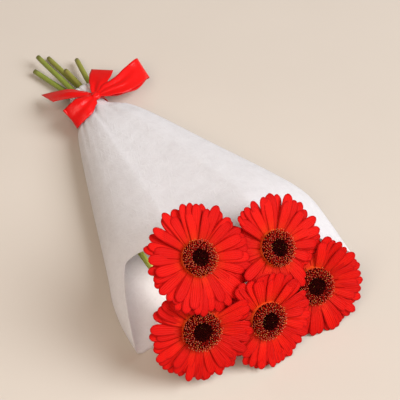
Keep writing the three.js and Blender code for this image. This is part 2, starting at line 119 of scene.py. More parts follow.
class Build:
    """Vertices and faces gathered into one mesh, with a few numbers on each vertex."""

    def __init__(self):
        self.points = []
        self.faces = []
        self.values = []
        self.slots = []

    def add(self, points, faces, values=None):
        """values holds four numbers for each point. The faces take the first material."""
        start = len(self.points)
        self.points += [Vector(p) for p in points]
        self.faces += [[start + i for i in face] for face in faces]
        self.values += values if values else [(0, 0, 0, 0)] * len(points)
        self.slots += [0] * len(faces)

    def tree(self):
        return BVHTree.FromPolygons(self.points, self.faces)

    def object(self, name, materials, slot, replaces):
        """Makes the mesh a piece that rides on the one body and stands for the nodes given."""
        mesh = bpy.data.meshes.new(name)
        mesh.from_pydata([placed(p) for p in self.points], [], self.faces)
        layer = mesh.attributes.new("facts", "FLOAT_COLOR", "POINT")
        layer.data.foreach_set("color", np.array(self.values, dtype=np.float32).ravel())
        for material in materials:
            mesh.materials.append(material)
        mesh.polygons.foreach_set("material_index", self.slots)
        mesh.shade_smooth()
        mesh.update()
        piece = bpy.data.objects.new(name, mesh)
        bpy.context.scene.collection.objects.link(piece)
        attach(piece, "root")
        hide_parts(*replaces)
        return piece


def grid_faces(rows, around, closed=True):
    """Quads over a grid of rows of points, each row a loop when closed."""
    last = around if closed else around - 1
    return [[i * around + j, i * around + (j + 1) % around,
             (i + 1) * around + (j + 1) % around, (i + 1) * around + j]
            for i in range(rows - 1) for j in range(last)]


def leaf_faces(rows, across):
    """Faces of a closed thin sheet: its upper grid, its lower grid, and the edge between them."""
    upper = grid_faces(rows, across, closed=False)
    size = rows * across
    lower = [[size + i for i in reversed(face)] for face in upper]
    rim = (list(range(across)) + [i * across + across - 1 for i in range(1, rows)]
           + [(rows - 1) * across + j for j in range(across - 2, -1, -1)]
           + [i * across for i in range(rows - 2, 0, -1)])
    edge = [[rim[(k + 1) % len(rim)], rim[k], size + rim[k], size + rim[(k + 1) % len(rim)]]
            for k in range(len(rim))]
    return upper + lower + edge


def tube(build, path, radii, sides, values, ribs, rib_depth, cap_slot):
    """A ribbed stem along a path, closed at both ends; values(k) gives the numbers of ring k."""
    side = None
    points, facts = [], []
    for k, centre in enumerate(path):
        along = (path[min(k + 1, len(path) - 1)] - path[max(k - 1, 0)]).normalized()
        if side is None:
            side = along.cross(Vector((0, 0, 1))).normalized()
        side = (side - along * side.dot(along)).normalized()
        other = along.cross(side)
        for j in range(sides):
            angle = 2 * math.pi * j / sides
            radius = radii[k] * (1 + rib_depth * math.cos(ribs * angle))
            points.append(centre + radius * (math.cos(angle) * side + math.sin(angle) * other))
            facts.append(values(k))
    faces = [list(reversed(face)) for face in grid_faces(len(path), sides)]
    build.add(points, faces, facts)
    base = len(build.points) - len(points)
    last = base + (len(path) - 1) * sides
    build.faces += [[base + j for j in range(sides)], [last + j for j in reversed(range(sides))]]
    build.slots += [cap_slot] * 2


def turned(build, profile, sectors, values, matrix):
    """A turned shape from (radius, height) pairs whose first and last points are on the axis."""
    points = []
    for radius, height in profile[1:-1]:
        for j in range(sectors):
            angle = 2 * math.pi * j / sectors
            points.append(matrix @ Vector((
                radius * math.cos(angle), radius * math.sin(angle), height)))
    rings = len(profile) - 2
    faces = grid_faces(rings, sectors)
    first, last = len(points), len(points) + 1
    points += [matrix @ Vector((0, 0, profile[0][1])), matrix @ Vector((0, 0, profile[-1][1]))]
    faces += [[first, (j + 1) % sectors, j] for j in range(sectors)]
    top = (rings - 1) * sectors
    faces += [[last, top + j, top + (j + 1) % sectors] for j in range(sectors)]
    build.add(points, faces, [values] * len(points))


# ---------------------------------------------------------------- materials


class Shader:
    """A node material put together by short calls."""

    def __init__(self, name, **sockets):
        self.material = bpy.data.materials.new(name)
        self.material.use_nodes = True
        self.nodes = self.material.node_tree.nodes
        self.links = self.material.node_tree.links
        self.surface = self.nodes["Principled BSDF"]
        for socket, value in sockets.items():
            self.surface.inputs[socket.replace("_", " ")].default_value = value

    def node(self, kind, inputs=(), **settings):
        made = self.nodes.new(kind)
        for key, value in settings.items():
            setattr(made, key, value)
        for key, value in dict(inputs).items():
            if isinstance(value, bpy.types.NodeSocket):
                self.links.new(value, made.inputs[key])
            else:
                made.inputs[key].default_value = value
        return made

    def fact(self, index):
        """One of the four numbers that each vertex carries."""
        read = self.node("ShaderNodeAttribute", attribute_name="facts")
        if index == 3:
            return read.outputs["Alpha"]
        split = self.node("ShaderNodeSeparateColor", {"Color": read.outputs["Color"]})
        return split.outputs[index]

    def math(self, operation, *values):
        inputs = {i: v for i, v in enumerate(values)}
        return self.node("ShaderNodeMath", inputs, operation=operation).outputs[0]

    def place(self, scale=(1, 1, 1), turn=0.0):
        """Where on the piece, in metres, stretched and turned about Z."""
        where = self.node("ShaderNodeTexCoord").outputs["Object"]
        turned_to = self.node("ShaderNodeMapping", {
            "Vector": where, "Rotation": (0, 0, turn)}).outputs[0]
        return self.node("ShaderNodeMapping", {"Vector": turned_to, "Scale": scale}).outputs[0]

    def noise(self, scale, detail=2.0, roughness=0.5, vector=None):
        inputs = {"Scale": scale, "Detail": detail, "Roughness": roughness}
        inputs["Vector"] = vector if vector is not None else self.place()
        return self.node("ShaderNodeTexNoise", inputs).outputs[0]

    def ramp(self, value, stops):
        made = self.node("ShaderNodeValToRGB", {"Fac": value})
        ramp = made.color_ramp
        while len(ramp.elements) < len(stops):
            ramp.elements.new(0.5)
        for element, (position, color) in zip(ramp.elements, stops):
            element.position = position
            element.color = (*color, 1)
        return made.outputs[0]

    def mix(self, share, a, b, blend="MIX"):
        made = self.node("ShaderNodeMix", data_type="RGBA", blend_type=blend)
        for socket, value in ((made.inputs[0], share), (made.inputs[6], a), (made.inputs[7], b)):
            if isinstance(value, bpy.types.NodeSocket):
                self.links.new(value, socket)
            else:
                socket.default_value = (*value, 1) if isinstance(value, tuple) else value
        return made.outputs[2]

    def color(self, value):
        self.links.new(value, self.surface.inputs["Base Color"])

    def feed(self, socket, value):
        self.links.new(value, self.surface.inputs[socket])

    def bump(self, height, distance, strength=1.0, before=None):
        inputs = {"Height": height, "Distance": distance, "Strength": strength}
        if before is not None:
            inputs["Normal"] = before
        made = self.node("ShaderNodeBump", inputs).outputs[0]
        self.links.new(made, self.surface.inputs["Normal"])
        return made


def petal_material():
    """Petals carry how far along (0 root, 1 tip), how far across (0 to 1) and their own tint."""
    s = Shader("petal_red", Roughness=0.55, Subsurface_Weight=0.12, Subsurface_Scale=0.002,
               Specular_IOR_Level=0.06)
    s.surface.inputs["Subsurface Radius"].default_value = (1.0, 0.12, 0.06)
    along, across, tint = s.fact(0), s.fact(1), s.fact(2)
    body = s.ramp(along, [(0.0, (0.90, 0.30, 0.03)), (0.085, (0.86, 0.13, 0.012)),
                          (0.13, (0.82, 0.035, 0.006)), (0.42, (0.79, 0.012, 0.004)),
                          (0.93, (0.76, 0.007, 0.004)), (1.0, (0.52, 0.004, 0.004))])
    tinted = s.mix(s.math("MULTIPLY", tint, 0.7), body, (0.52, 0.004, 0.003))
    veins = s.math("SINE", s.math("MULTIPLY", across, 34.0))
    fine = s.math("MULTIPLY_ADD", veins, 0.5, 0.5)
    mottle = s.noise(900, 3)
    streak = s.math("MULTIPLY", fine, s.math("MULTIPLY", mottle, 0.75))
    # Painted shade: each petal darkens towards both its sides, standing in for the thin shadowed
    # gaps between overlapping petals.
    off_middle = s.math("MULTIPLY", s.math("ABSOLUTE", s.math("SUBTRACT", across, 0.5)), 2.0)
    edge = s.math("MULTIPLY", s.math("POWER", off_middle, 5.0), 0.75)
    striped = s.mix(streak, tinted, (0.44, 0.003, 0.003))
    s.color(s.mix(edge, striped, (0.40, 0.003, 0.003)))
    s.feed("Roughness", s.math("MULTIPLY_ADD", mottle, 0.2, 0.42))
    s.bump(s.math("ADD", fine, s.math("MULTIPLY", mottle, 0.6)), 0.0003, 0.9)
    return s.material


def eye_material():
    """Florets carry their own colour."""
    s = Shader("eye_florets", Roughness=0.8, Specular_IOR_Level=0.0)
    own = s.node("ShaderNodeAttribute", attribute_name="facts").outputs["Color"]
    grain = s.noise(2600, 2)
    s.color(s.mix(s.math("MULTIPLY", grain, 0.3), own, (0.006, 0.001, 0.001)))
    s.bump(grain, 0.00015, 0.6)
    return s.material


def stem_material():
    """Stems carry how far from the cut end (0 at the cut) and a tint towards brown."""
    s = Shader("stem_green", Roughness=0.45, Subsurface_Weight=0.06, Subsurface_Scale=0.002,
               Specular_IOR_Level=0.3)
    along, tint = s.fact(0), s.fact(1)
    fibre = s.noise(420, 4, 0.6, s.place((1, 0.06, 1), 0.1))
    spots = s.noise(160, 2)
    green = s.mix(fibre, (0.16, 0.22, 0.02), (0.34, 0.42, 0.07))
    warm = s.mix(tint, green, (0.36, 0.31, 0.06))
    tip = s.ramp(along, [(0.0, (1, 1, 1)), (0.035, (0.25, 0.25, 0.25)), (0.12, (0, 0, 0))])
    dry = s.mix(s.math("MULTIPLY", tip, 0.4), warm, (0.36, 0.30, 0.11))
    s.color(s.mix(s.math("MULTIPLY", spots, 0.3), dry, (0.10, 0.13, 0.035)))
    s.bump(fibre, 0.0002, 0.5)
    return s.material


def cut_material():
    s = Shader("stem_cut", Roughness=0.6, Specular_IOR_Level=0.3)
    s.color(s.mix(s.noise(1400, 3), (0.45, 0.43, 0.20), (0.62, 0.60, 0.36)))
    s.bump(s.noise(2200, 2), 0.0002)
    return s.material


def paper_material():
    """A soft non-woven sheet: long fine fibres lying every way, with soft cloudy patches."""
    s = Shader("paper_white", Roughness=0.85, Sheen_Weight=0.15, Sheen_Roughness=0.6,
               Specular_IOR_Level=0.2)
    strands = None
    for turn, stretch in ((0.35, 0.07), (1.25, 0.09), (2.2, 0.08), (2.9, 0.06)):
        lay = s.noise(560, 3, 0.55, s.place((1, stretch, 0.5), turn))
        sharp = s.math("POWER", s.math("MULTIPLY", lay, 1.45), 3.0)
        strands = sharp if strands is None else s.math("MAXIMUM", strands, sharp)
    clouds = s.noise(55, 4, 0.6)
    patches = s.math("MULTIPLY_ADD", s.noise(95, 4, 0.6), 2.6, -0.8)
    tone = s.mix(patches, (0.79, 0.755, 0.77), (0.90, 0.875, 0.895))
    s.color(s.mix(s.math("MULTIPLY", strands, 0.75), tone, (0.95, 0.93, 0.945)))
    s.bump(strands, 0.0004, 0.6, s.bump(clouds, 0.002, 0.45))
    glow = s.node("ShaderNodeBsdfTranslucent", {"Color": (0.98, 0.96, 0.955, 1)})
    both = s.node("ShaderNodeMixShader", {0: 0.3, 1: s.surface.outputs[0], 2: glow.outputs[0]})
    s.links.new(both.outputs[0], s.nodes["Material Output"].inputs["Surface"])
    return s.material


def ribbon_material():
    """Satin: fine threads along the ribbon, smooth and shining. It carries along and across."""
    s = Shader("ribbon_satin", Roughness=0.3, Specular_IOR_Level=0.3)
    across = s.fact(1)
    threads = s.math("MULTIPLY_ADD", s.math("SINE", s.math("MULTIPLY", across, 420.0)), 0.5, 0.5)
    cloud = s.noise(120, 2)
    edge = s.math("GREATER_THAN", s.math("ABSOLUTE", s.math("SUBTRACT", across, 0.5)), 0.475)
    tone = s.mix(cloud, (0.70, 0.003, 0.003), (0.78, 0.005, 0.004))
    s.color(s.mix(s.math("MULTIPLY", edge, 0.5), tone, (0.5, 0.003, 0.003)))
    s.bump(threads, 0.00003, 0.5)
    return s.material


def floor_material():
    s = Shader("table_pale", Roughness=0.8, Specular_IOR_Level=0.2)
    s.color(s.mix(s.noise(9, 3), (0.622, 0.55, 0.478), (0.648, 0.576, 0.503)))
    return s.material


petal_red = petal_material()
eye_florets = eye_material()
stem_green = stem_material()
stem_cut = cut_material()
paper_white = paper_material()
ribbon_satin = ribbon_material()

# ---------------------------------------------------------------- paper cone

# Distance from the tie, width to the left and to the right of the axis, height, how far the
# underside is off the table, and how square the section is below and at its upper right, which
# sinks towards the mouth (2 is an ellipse).
CONE = [
    (-24, 18.5, 18.5, 26.4, 1.2, 2.3, 2.0),
    (-9, 13.6, 13.6, 25.4, 2.4, 2.1, 2.0),
    (0, 12.6, 12.6, 25.0, 2.4, 2.0, 2.0),
    (9, 15.5, 15.5, 25.8, 2.2, 2.0, 2.0),
    (16, 26, 26, 27.5, 0.6, 2.3, 2.0),
    (26, 35, 35, 30.5, 0, 3.0, 2.0),
    (48, 44.8, 45.8, 36.5, 0, 4.0, 2.0),
    (120, 71.4, 74.5, 48, 0, 4.0, 2.0),
    (205, 101.5, 109.5, 63, 0, 6.0, 1.9),
    (232, 112, 118, 69, 0, 7.0, 1.7),
    (264, 118.5, 117, 73, 0, 9.0, 1.5),
    (310, 121, 112, 76, 0, 11.0, 1.2),
]
CONE_LEAN = 0.01           # the cone's axis turns this much to the right of the tie's
SHOULDER = 14              # the underside reaches its full width this far above its lowest line
FLAT_SHARE = 1.08          # widens the flat stretches where the section is square
SINK_EDGE = 0.6            # the upper right sinks fully beyond this cosine of the angle
# Where the paper ends at the mouth: angle round the section (-90 below, 0 right, 90 above) and
# distance from the tie.
RIM = [
    (-90, 288), (-42, 296), (-12, 306), (8, 306), (30, 298), (60, 282), (90, 262), (125, 232),
    (146, 222), (154, 242), (162, 263), (172, 281), (184, 289), (206, 291), (222, 291), (270, 288),
]
COLLAR = -24               # where the paper ends behind the tie
PAPER = 0.5                # thickness
PAPER_AROUND = 180         # points round the cone
NEAR_ROWS, NEAR_STEP = 30, 2.5   # rows at even steps from the collar
FAR_ROWS = 70              # rows from there to the rim
RIM_WAVES = (3, 5, 8, 13)  # waves round the rim
RIM_WAVE_DEPTH = 0.5
PLEATS = 17
PLEAT_DEPTH = 1.7
PLEAT_FADE = 30            # the pleats die away over this distance from the tie,
FAINT_PLEATS = 0.07        # but for this share of them,
FAINT_START, FAINT_FADE = 60, 150   # which fades from here, over this distance
PRESSED_FLAT = 0.95        # share of the pleats that the table presses flat underneath


def cone_point(distance, angle):
    """A point on the outside of the cone, by distance from the tie and angle round the section."""
    left, right, top, low, square, sink = (
        smooth_through([(row[0], row[k]) for row in CONE], distance) for k in range(1, 7))
    low = max(0, low)
    waist = low + min(SHOULDER, (top - low) / 2)
    sine, cosine = math.sin(angle), math.cos(angle)
    half = right if cosine > 0 else left
    blend = min(1, max(0, cosine / SINK_EDGE))
    above = 2 + (sink - 2) * blend * blend * (3 - 2 * blend)
    power = 2 / (square if sine < 0 else above)
    across = CONE_LEAN * distance + half * math.copysign(abs(cosine)**power, cosine)
    flat = min(1, (FLAT_SHARE if square > 2.5 else 1) * abs(sine)**power)
    height = waist - (waist - low) * flat if sine < 0 else waist + (top - waist) * flat
    return Vector((across, -distance, min(height, top)))


def pleat_depth(distance, angle, pleats):
    """How far the gathered paper sinks in: sharp pleats at the tie that die away up the cone."""
    faint = FAINT_PLEATS * math.exp(-max(0, distance - FAINT_START) / FAINT_FADE)
    fade = math.exp(-max(0, distance) / PLEAT_FADE) + faint
    near_tie = 0.55 + 0.45 * min(1, abs(distance) / 14)
    depth = 0
    for turn, width, share, wander in pleats:
        off = (angle - turn - wander * distance / 300 + math.pi) % (2 * math.pi) - math.pi
        depth += share * math.exp(-(off / width)**2)
    pressed = 1 - PRESSED_FLAT * max(0, -math.sin(angle))**2
    return PLEAT_DEPTH * fade * near_tie * depth * pressed


def wrap_piece():
    """The paper cone: one skin from the collar to the rim, and its lining just inside it."""
    rng = random.Random(5)
    pleats = [(2 * math.pi * (k + rng.uniform(-0.3, 0.3)) / PLEATS, rng.uniform(0.07, 0.12),
               rng.uniform(0.4, 1.0), rng.uniform(-0.25, 0.25)) for k in range(PLEATS)]
    waves = [(rng.uniform(0, FULL_TURN), k, rng.uniform(0.4, 1.0)) for k in RIM_WAVES]
    near = [COLLAR + NEAR_STEP * k for k in range(NEAR_ROWS)]
    places = []
    for i in range(NEAR_ROWS + FAR_ROWS):
        row = []
        for j in range(PAPER_AROUND):
            angle = 2 * math.pi * j / PAPER_AROUND
            degrees = math.degrees(angle)
            end = smooth_through(RIM, degrees - 360 if degrees > 270 else degrees)
            end += RIM_WAVE_DEPTH * sum(
                share * math.sin(k * angle + turn) for turn, k, share in waves)
            if i < NEAR_ROWS:
                distance = near[i]
            else:
                distance = near[-1] + (end - near[-1]) * (i - NEAR_ROWS + 1) / FAR_ROWS
            row.append((distance, angle))
        places.append(row)
    rows = [[cone_point(d, a) for d, a in row] for row in places]
    count = len(rows)
    skin, lining = [], []
    for i, row in enumerate(rows):
        for j, point in enumerate(row):
            ahead = rows[min(count - 1, i + 1)][j] - rows[max(0, i - 1)][j]
            left = row[(j + 1) % PAPER_AROUND] - row[j - 1]
            inwards = ahead.cross(left).normalized()
            sunk = pleat_depth(*places[i][j], pleats)
            skin.append(point + inwards * sunk)
            lining.append(point + inwards * (sunk + PAPER))
    lining = [lining[i * PAPER_AROUND + j]
              for i in reversed(range(count)) for j in range(PAPER_AROUND)]
    faces = grid_faces(2 * count, PAPER_AROUND)
    last = (2 * count - 1) * PAPER_AROUND
    faces += [[last + j, last + (j + 1) % PAPER_AROUND, (j + 1) % PAPER_AROUND, j]
              for j in range(PAPER_AROUND)]
    build = Build()
    build.add(skin + lining, faces)
    return build


wrap = wrap_piece()
wrap_object = wrap.object("wrap_paper", [paper_white], "paper", ["wrap"])

# ---------------------------------------------------------------- stems

STEM_STEPS = 14            # rings of the stem's mesh between two points of its path
STEM_SIDES = 20
STEM_RIBS, STEM_RIB_DEPTH = 7, 0.012
STEM_SHARE = 0.98          # of the solid stem's radius, so that the swelling stays close to it
CUT_SHARE = 0.93           # the rim of the cut end is drawn in to this share
GREEN_CUP = (0.9, 0.05, 0, 0)
BRACTS = 16                # in each of the cup's three rows
BRACT_LINE = ((0, 0.8), (0.3, 1.0), (0.6, 0.85), (0.85, 0.45), (1.0, 0.05))   # along, half width
BRACT_THICKNESS = 0.35
BRACT_CURL = 38            # degrees by which a bract bends in towards its tip


def bloom_matrix(flower):
    """From the bloom's own frame, its axis along Z and its plate's top at 0, to the bunch's."""
    facing = Vector(flower["faces"]).normalized()
    across = Vector((0, 0, 1)).cross(facing).normalized()
    upwards = facing.cross(across)
    turn = Matrix((across, upwards, facing)).transposed().to_4x4()
    return Matrix.Translation(flower["bloom"]) @ turn


def stem_path(flower, steps):
    """The middle of the stem from its cut end through the tie to the cup."""
    facing = Vector(flower["faces"]).normalized()
    angle = math.radians(flower["tie"])
    at_tie = Vector((SPIRAL_RADIUS * math.cos(angle), 0,
                     NECK_CENTRE + SPIRAL_RADIUS * math.sin(angle)))
    top = Vector(flower["bloom"]) + facing * (2 - CUP_DEPTH)
    bend = top - facing * NECK_BEND
    bend.z = max(bend.z, LOWEST_BEND)
    middle = (at_tie + bend) / 2
    middle.z += flower["arch"]
    middle.x += flower["bow"]
    return centripetal([flower["cut"], at_tie, middle, bend, top], steps)


def bract(build, matrix, angle, root_radius, root_height, length, width, lift, values):
    """One pointed green scale of the cup, lying close against it."""
    out = Vector((math.cos(angle), math.sin(angle), 0))
    side = Vector((-math.sin(angle), math.cos(angle), 0))
    upper, lower = [], []
    for share, wide in BRACT_LINE:
        slope = math.radians(lift - BRACT_CURL * share)
        chord = math.radians(lift - BRACT_CURL / 2 * share)
        centre = out * (root_radius + math.cos(chord) * length * share)
        centre.z = root_height + math.sin(chord) * length * share
        normal = out * math.sin(slope) - Vector((0, 0, math.cos(slope)))
        for across in (-1, 0, 1):
            spot = centre + side * across * width * wide + normal * (0.5 - 0.35 * across**2)
            upper.append(matrix @ spot)
            lower.append(matrix @ (spot - normal * BRACT_THICKNESS))
    build.add(upper + lower, leaf_faces(len(BRACT_LINE), 3), [values] * (2 * len(upper)))


def stem_piece(flower):
    """The stem with its pale cut end, and the cup with three rows of bracts."""
    rng = random.Random(flower["seed"] * 3 + 1)
    path = stem_path(flower, STEM_STEPS)
    count = len(path)
    brown = flower["brown"]
    radii = [STEM_RADIUS * STEM_SHARE * (1 + 0.03 * math.sin(0.7 * k + flower["seed"]))
             for k in range(count)]
    radii[0] *= CUT_SHARE
    build = Build()
    tube(build, path, radii, STEM_SIDES,
         lambda k: (k / count, brown * (1 - 0.6 * min(1, k / STEM_STEPS)), 0, 0),
         STEM_RIBS, STEM_RIB_DEPTH, cap_slot=1)
    matrix = bloom_matrix(flower)
    wide = flower["disc"] - 1.4
    rim = -PLATE_DEPTH - 0.3
    cup = [(0, -CUP_DEPTH), (STEM_RADIUS + 0.3, -CUP_DEPTH), (wide * 0.60, -CUP_DEPTH + 3.8),
           (wide * 0.90, -CUP_DEPTH + 8), (wide, rim), (0, rim)]
    turned(build, cup, 32, GREEN_CUP, matrix)
    for row, (radius, height, length, lift) in enumerate((
            (STEM_RADIUS, -CUP_DEPTH - 0.4, 9.5, 42), (wide * 0.58, -CUP_DEPTH + 3.2, 9, 62),
            (wide * 0.86, -CUP_DEPTH + 6.8, 7.5, 84))):
        for k in range(BRACTS):
            angle = 2 * math.pi * (k + 0.5 * row + rng.uniform(-0.12, 0.12)) / BRACTS
            bract(build, matrix, angle, radius, height, length * rng.uniform(0.9, 1.05),
                  1.5 + 0.5 * row, lift, (0.9, rng.uniform(0, 0.25), 0, 0))
    return build


stems = {f["name"]: stem_piece(f) for f in FLOWERS}
for name, build in stems.items():
    build.object(f"stem_and_cup_{name}", [stem_green, stem_cut], "stem", [f"stem_{name}"])

# ---------------------------------------------------------------- eyes of the blooms

GOLDEN_ANGLE = math.pi * (3 - math.sqrt(5))
EYE_FLORETS = 420
DARK_SHARE = 0.50          # the buds inside this share of the radius are still closed
EYE_SECTORS = 36
EYE_GROUND = (0.07, 0.004, 0.003, 1)   # the dark cushion under the florets
# A floret's rings from foot to mouth and back into it: height and width, as shares of its own.
FLORET_RINGS = ((0.0, 0.55), (0.6, 0.6), (1.0, 1.0), (0.86, 0.45))
FLORET_LIP = 2             # the ring that flares
FLORET_SIDES = 5
SPIKE_SIDES = 4
BLACK_RED, DARK_RED, DEEP_RED = (0.006, 0.001, 0.001), (0.025, 0.002, 0.002), (0.40, 0.02, 0.01)
PINK, ORANGE, GOLD = (0.95, 0.42, 0.25), (0.95, 0.58, 0.15), (0.72, 0.42, 0.10)


def floret(build, matrix, spot, axis, tall, wide, colors, rng):
    """A small open tube whose edge flares and is paler than its foot."""
    side = axis.orthogonal().normalized()
    other = axis.cross(side)
    spin = rng.uniform(0, FULL_TURN)
    points, facts = [], []
    for k, (height, spread) in enumerate(FLORET_RINGS):
        for j in range(FLORET_SIDES):
            angle = spin + 2 * math.pi * j / FLORET_SIDES
            flare = spread * (1 + (0.25 if k == FLORET_LIP and j % 2 else 0))
            around = math.cos(angle) * side + math.sin(angle) * other
            points.append(matrix @ (spot + axis * tall * height + wide * flare * around))
            facts.append((*colors[k], 1))
    inner = (len(FLORET_RINGS) - 1) * FLORET_SIDES
    faces = grid_faces(len(FLORET_RINGS), FLORET_SIDES)
    faces += [list(reversed(range(FLORET_SIDES))), [inner + j for j in range(FLORET_SIDES)]]
    build.add(points, faces, facts)


def spike(build, matrix, spot, axis, tall, wide, low_color, high_color):
    """A thin stalk with a bright pointed head, which stands out of a floret."""
    side = axis.orthogonal().normalized()
    other = axis.cross(side)
    points, facts = [], []
    for height, spread, color in (
            (0, 0.7, low_color), (0.75, 0.6, low_color), (0.92, 1.0, high_color)):
        for j in range(SPIKE_SIDES):
            angle = math.pi * j / 2
            around = math.cos(angle) * side + math.sin(angle) * other
            points.append(matrix @ (spot + axis * tall * height + wide * spread * around))
            facts.append((*color, 1))
    points.append(matrix @ (spot + axis * tall))
    facts.append((*high_color, 1))
    faces = grid_faces(3, 4) + [[3, 2, 1, 0]] + [[12, 8 + j, 8 + (j + 1) % 4] for j in range(4)]
    build.add(points, faces, facts)


def eye_piece(flower):
    """The dark eye: a cushion with closed buds in its middle and open florets round them."""
    rng = random.Random(flower["seed"] * 7 + 2)
    wide = flower["disc"]
    matrix = bloom_matrix(flower)
    build = Build()
    profile = [(0, 0.3), (wide - 0.6, 0.3), (wide, 2.2), (wide * 0.86, 4.2), (wide * 0.66, 4.6),
               (wide * 0.50, 3.6), (wide * 0.34, 3.0), (wide * 0.16, 3.2), (0, 3.4)]
    turned(build, profile, EYE_SECTORS, EYE_GROUND, matrix)
    heights = list(reversed(profile[2:]))
    for k in range(EYE_FLORETS):
        share = math.sqrt((k + 0.5) / EYE_FLORETS)
        radius = share * wide
        angle = k * GOLDEN_ANGLE + rng.uniform(-0.05, 0.05)
        out = Vector((math.cos(angle), math.sin(angle), 0))
        spot = out * radius + Vector((0, 0, smooth_through(heights, radius) - 0.5))
        if share < DARK_SHARE:
            axis = (out * (-0.25 * share) + Vector((0, 0, 1))).normalized()
            dark = BLACK_RED if rng.random() < 0.85 else DARK_RED
            floret(build, matrix, spot, axis, rng.uniform(1.3, 1.9), 0.62, [dark] * 4, rng)
            if rng.random() < 0.06:
                spike(build, matrix, spot, axis, 2.3, 0.16, dark, GOLD)
            continue
        edge = (share - DARK_SHARE) / (1 - DARK_SHARE)
        lean = 0.05 + 0.60 * edge + rng.uniform(-0.15, 0.15)
        aside = Vector((-out.y, out.x, 0)) * rng.uniform(-0.2, 0.2)
        axis = (out * lean + aside + Vector((0, 0, 1))).normalized()
        foot = (0.16 + 0.12 * edge, 0.004, 0.003)
        lip = (0.50 + 0.30 * edge, 0.010 + 0.02 * edge, 0.008)
        floret(build, matrix, spot, axis, rng.uniform(1.9, 2.8), 0.60,
               [foot, foot, lip, foot], rng)
        if rng.random() < 0.62:
            bright = PINK if rng.random() < 0.6 else ORANGE
            spike(build, matrix, spot, axis, rng.uniform(2.8, 3.6), 0.26, DEEP_RED, bright)
    return build


eyes = {f["name"]: eye_piece(f) for f in FLOWERS}
for name, build in eyes.items():
    build.object(f"eye_{name}", [eye_florets], "disc", [f"disc_{name}"])

# ---------------------------------------------------------------- petals

# A petal from root (0) to tip (1): the rows of its mesh, and its half width at places along it.
PETAL_ROWS = (0, 0.07, 0.16, 0.27, 0.38, 0.50, 0.61, 0.71, 0.80, 0.87, 0.925, 0.965, 0.99, 1.0)
PETAL_SHAPE = [(0, 0.58), (0.15, 0.68), (0.35, 0.84), (0.58, 0.98), (0.72, 1.0), (0.84, 0.94),
               (0.92, 0.78), (0.97, 0.52), (1.0, 0.2)]
PETAL_COLUMNS = 9
PETAL_THICKNESS = 0.4
PETAL_HALF_WIDTH = 5.2
PLATE_OVER_DISC = 0.8      # the petals start from this far outside the eye,
ROOT_SUNK = 3.2            # less this much, which is under the plate's edge
PLATE_SECTORS = 32
PLATE_FACTS = (0.10, 0.5, 0.6, 1)
CLEARANCE = 0.35           # left round a petal when it is tried against what is in its way
TABLE_GAP = 0.05           # no petal comes closer to the table
# From the lowest layer up: petals, reach as a share of the bloom's, height of the roots, how
# steeply they rise there and how far they fall back along their length (degrees).
LAYERS = [
    dict(count=21, reach=1.01, root=-3.3, lift=14, fall=15),
    dict(count=21, reach=1.0, root=-2.6, lift=15.5, fall=16.5),
    dict(count=16, reach=0.90, root=-1.9, lift=17.5, fall=18),
]
# What a petal tries in turn, until it is clear: bends at its root (degrees), then shorter lengths.
BENDS_ANY_WAY = [0, 5, -5, 10, -10, 16, -16, 22, -22, 30, -30, 38, -38, 48, -48, -60, -75]
BENDS_BACK = [0, -5, -10, -15, -20, -26, -33, -41, -50, -62, -75]
LENGTHS = (1, 0.88, 0.76, 0.62, 0.5)


def petal_plan(flower, rng):
    """Every petal of a bloom: where it starts, and how it rises, falls, turns and is tinted."""
    plate = flower["disc"] + PLATE_OVER_DISC
    shorter_at, shorter_by = flower["short"]
    plan = []
    for depth, layer in enumerate(LAYERS):
        for k in range(layer["count"]):
            angle = 2 * math.pi * (k + 0.5 * depth + rng.uniform(-0.16, 0.16)) / layer["count"]
            angle -= flower["crowded"] * math.cos(angle)
            low = -math.sin(angle)
            towards = max(0, math.cos(angle - math.radians(flower["swept"])))
            brief = max(0, math.cos(angle - math.radians(shorter_at)))**8
            reach = flower["reach"] * layer["reach"] * rng.uniform(0.95, 1.03)
            plan.append(dict(
                angle=angle, root_radius=plate - ROOT_SUNK, root=layer["root"],
                length=(reach - plate + ROOT_SUNK) * (1 - shorter_by * brief),
                lift=layer["lift"] + rng.uniform(-1.5, 1.5),
                fall=layer["fall"] + rng.uniform(-5, 5) + 2 * flower["sweep"] * towards**3,
                roll=math.radians(6 + rng.uniform(-5, 5)), twist=math.radians(rng.uniform(-9, 9)),
                sway=math.radians(rng.uniform(-6, 6)),
                width=rng.uniform(0.88, 1.06) * (1 - 0.5 * flower["crowded"] * low),
                channel=rng.uniform(-0.9, 0.7), tint=rng.random(), tip=rng.uniform(-14, 8)))
    return plan


